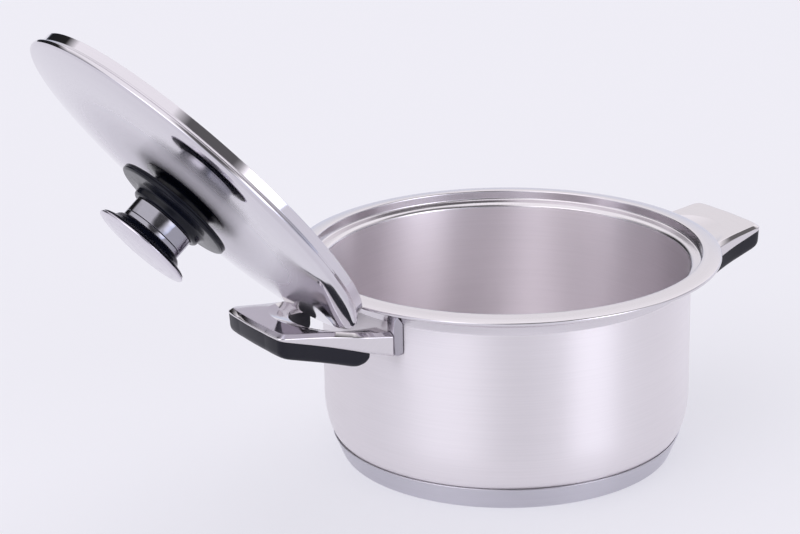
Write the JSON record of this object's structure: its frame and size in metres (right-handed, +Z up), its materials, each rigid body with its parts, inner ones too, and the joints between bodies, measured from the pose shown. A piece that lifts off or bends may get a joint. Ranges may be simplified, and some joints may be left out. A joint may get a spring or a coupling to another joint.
{
  "type": "casserole pot with lid",
  "caption": "Stainless steel casserole pot with a flared pouring rim, side handles with black grips, and a domed lid parked in a handle.",
  "frame": {"origin": "centre of the underside of the base, on the pot's axis, where it stands on the hob", "axes": "+Z up along the pot's axis, X through both handles with the parked lid on the -X side, Y across"},
  "size_m": [0.5038, 0.2818, 0.321],
  "materials": {
    "satin_steel": "satin, brushed round the inside",
    "mirror_steel": "mirror polished",
    "screw_steel": "turned",
    "grip_plastic": "satin black",
    "knob_plastic": "glossy black",
    "aluminium_core": "rolled",
    "brass": "turned"
  },
  "bodies": {
    "pot": {"pot_shell": "satin_steel", "base_capsule": "mirror_steel", "base_core": "aluminium_core", "right_handle_plate": "mirror_steel", "right_handle_grip": "grip_plastic", "right_bracket_front": "satin_steel", "right_bracket_rear": "satin_steel", "right_grip_screw_front": "screw_steel", "right_grip_screw_rear": "screw_steel", "left_handle_plate": "mirror_steel", "left_handle_grip": "grip_plastic", "left_bracket_front": "satin_steel", "left_bracket_rear": "satin_steel", "left_grip_screw_front": "screw_steel", "left_grip_screw_rear": "screw_steel"},
    "lid": {"lid_shell": "mirror_steel", "knob_foot": "knob_plastic", "knob_base": "knob_plastic", "knob_core": "knob_plastic", "knob_sleeve": "mirror_steel", "knob_neck_ring": "mirror_steel", "knob_collar": "knob_plastic", "knob_cap": "mirror_steel", "knob_insert": "brass", "knob_washer": "screw_steel", "knob_screw": "screw_steel"}
  },
  "joints": [
    {"name": "lid_swing", "type": "hinge", "parent": "pot", "child": "lid", "pos_m": [-0.1334, 0, 0.13077], "axis": [0, 1, 0], "range_deg": [0, 131.5]}
  ]
}
